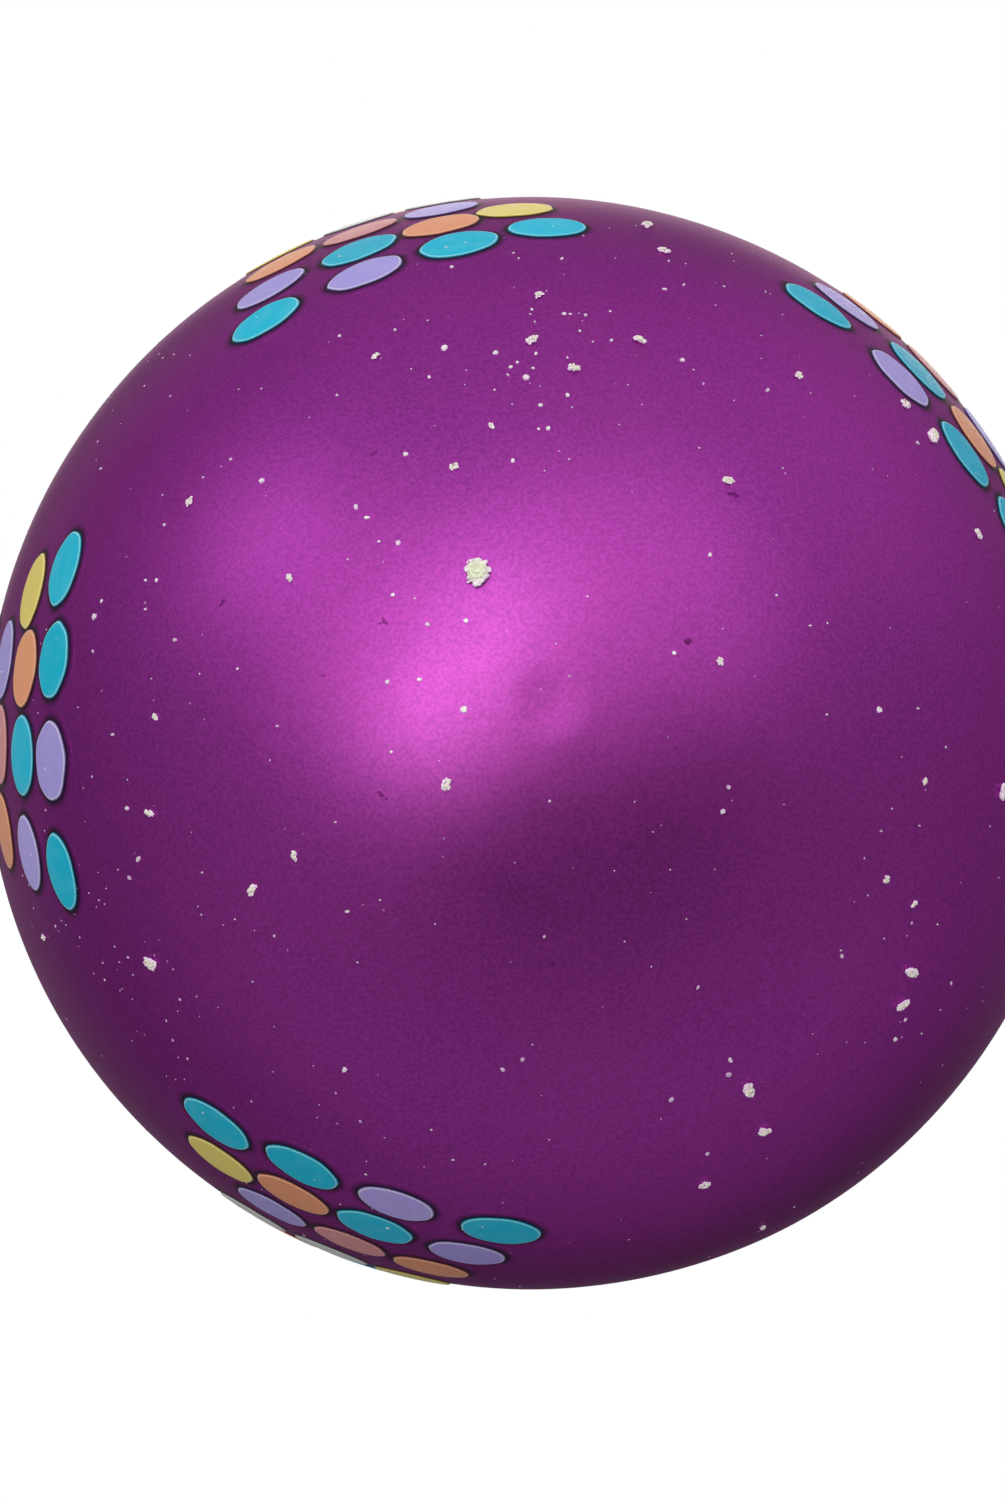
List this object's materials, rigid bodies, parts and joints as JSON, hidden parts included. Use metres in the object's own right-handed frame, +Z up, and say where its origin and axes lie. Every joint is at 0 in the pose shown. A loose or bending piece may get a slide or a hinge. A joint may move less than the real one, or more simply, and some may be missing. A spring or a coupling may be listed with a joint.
{
  "type": "hanging christmas bauble",
  "caption": "Hanging glass bauble with a satin lacquer, groups of raised enamel dots, stray glitter, and a pull-off metal cap with a spring-wire eye.",
  "frame": {"origin": "centre of the hanger's eye, which a hook or ribbon passes through; the ball hangs below it", "axes": "+Z up along the hanging line, from the ball's pip through its neck; X across the two holes in the cap, in the plane of the eye"},
  "size_m": [0.1002, 0.1, 0.1217],
  "materials": {
    "lacquered_glass": "satin",
    "cap_metal": "satin",
    "hanger_steel": "satin",
    "glitter_crumb": "gloss",
    "glitter_flake": "gloss",
    "teal_enamel": "satin",
    "lavender_enamel": "satin",
    "orange_enamel": "satin",
    "yellow_enamel": "satin",
    "pink_enamel": "satin",
    "silver_enamel": "satin"
  },
  "bodies": {
    "ball": {"glass_shell": "lacquered_glass", "glitter_crumbs": "glitter_crumb", "glitter_flakes": "glitter_flake", "front_right_teal_dots": "teal_enamel", "front_right_lavender_dots": "lavender_enamel", "front_right_orange_dots": "orange_enamel", "front_right_yellow_dots": "yellow_enamel", "front_right_pink_dots": "pink_enamel", "front_right_silver_dots": "silver_enamel", "front_teal_dots": "teal_enamel", "front_lavender_dots": "lavender_enamel", "front_orange_dots": "orange_enamel", "front_yellow_dots": "yellow_enamel", "front_pink_dots": "pink_enamel", "front_silver_dots": "silver_enamel", "left_teal_dots": "teal_enamel", "left_lavender_dots": "lavender_enamel", "left_orange_dots": "orange_enamel", "left_yellow_dots": "yellow_enamel", "left_pink_dots": "pink_enamel", "left_silver_dots": "silver_enamel", "back_teal_dots": "teal_enamel", "back_lavender_dots": "lavender_enamel", "back_orange_dots": "orange_enamel", "back_yellow_dots": "yellow_enamel", "back_pink_dots": "pink_enamel", "back_silver_dots": "silver_enamel"},
    "cap": {"cap": "cap_metal"},
    "hanger": {"hanger_wire": "hanger_steel"}
  },
  "joints": [
    {"name": "cap_lift", "type": "slide", "parent": "ball", "child": "cap", "axis": [0, 0, 1], "range_m": [0, 0.03]},
    {"name": "hanger_push", "type": "slide", "parent": "cap", "child": "hanger", "axis": [0, 0, 1], "range_m": [-0.003, 0]}
  ]
}
